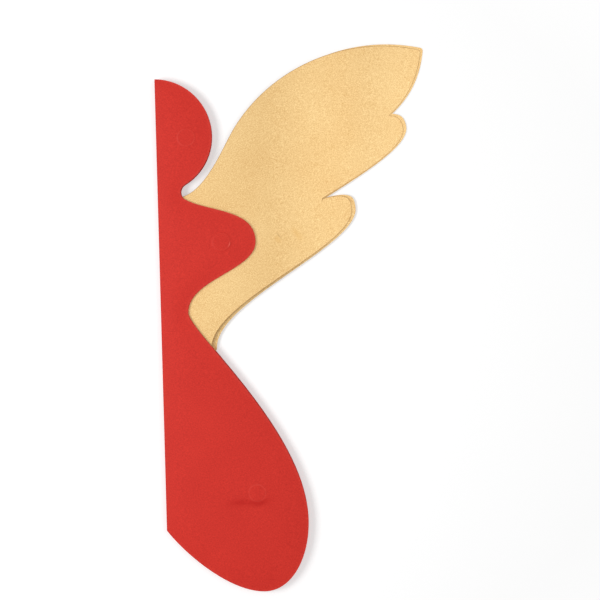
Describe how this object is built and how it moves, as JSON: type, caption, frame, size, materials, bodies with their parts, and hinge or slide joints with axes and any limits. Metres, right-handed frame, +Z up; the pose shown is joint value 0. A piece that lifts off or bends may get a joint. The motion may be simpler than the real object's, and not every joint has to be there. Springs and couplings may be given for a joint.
{
  "type": "folding paper angel ornament",
  "caption": "Paper angel that fans open from a straight spine: red folded leaves cut to head, bust and skirt, gold wings between them, hidden disc magnets; shown closed and flat.",
  "frame": {"origin": "under the middle of the closed angel's box, on the surface that it lies on", "axes": "+X from the spine to the wing's tip, +Y from the skirt to the head, +Z up, away from the surface"},
  "size_m": [0.2196, 0.4494, 0.0089],
  "materials": {
    "red_paper": "matte",
    "gold_paper": "satin",
    "magnet_steel": "satin"
  },
  "bodies": {
    "root": {"front_cover": "red_paper", "rear_cover": "red_paper", "red_sheet_01": "red_paper", "red_sheet_02": "red_paper", "red_sheet_03": "red_paper", "red_sheet_04": "red_paper", "red_sheet_05": "red_paper", "red_sheet_06": "red_paper", "red_sheet_07": "red_paper", "red_sheet_08": "red_paper", "front_wing": "gold_paper", "rear_wing": "gold_paper", "front_head_magnet": "magnet_steel", "front_bust_magnet": "magnet_steel", "front_skirt_magnet": "magnet_steel", "rear_head_magnet": "magnet_steel", "rear_bust_magnet": "magnet_steel", "rear_skirt_magnet": "magnet_steel"}
  },
  "joints": []
}
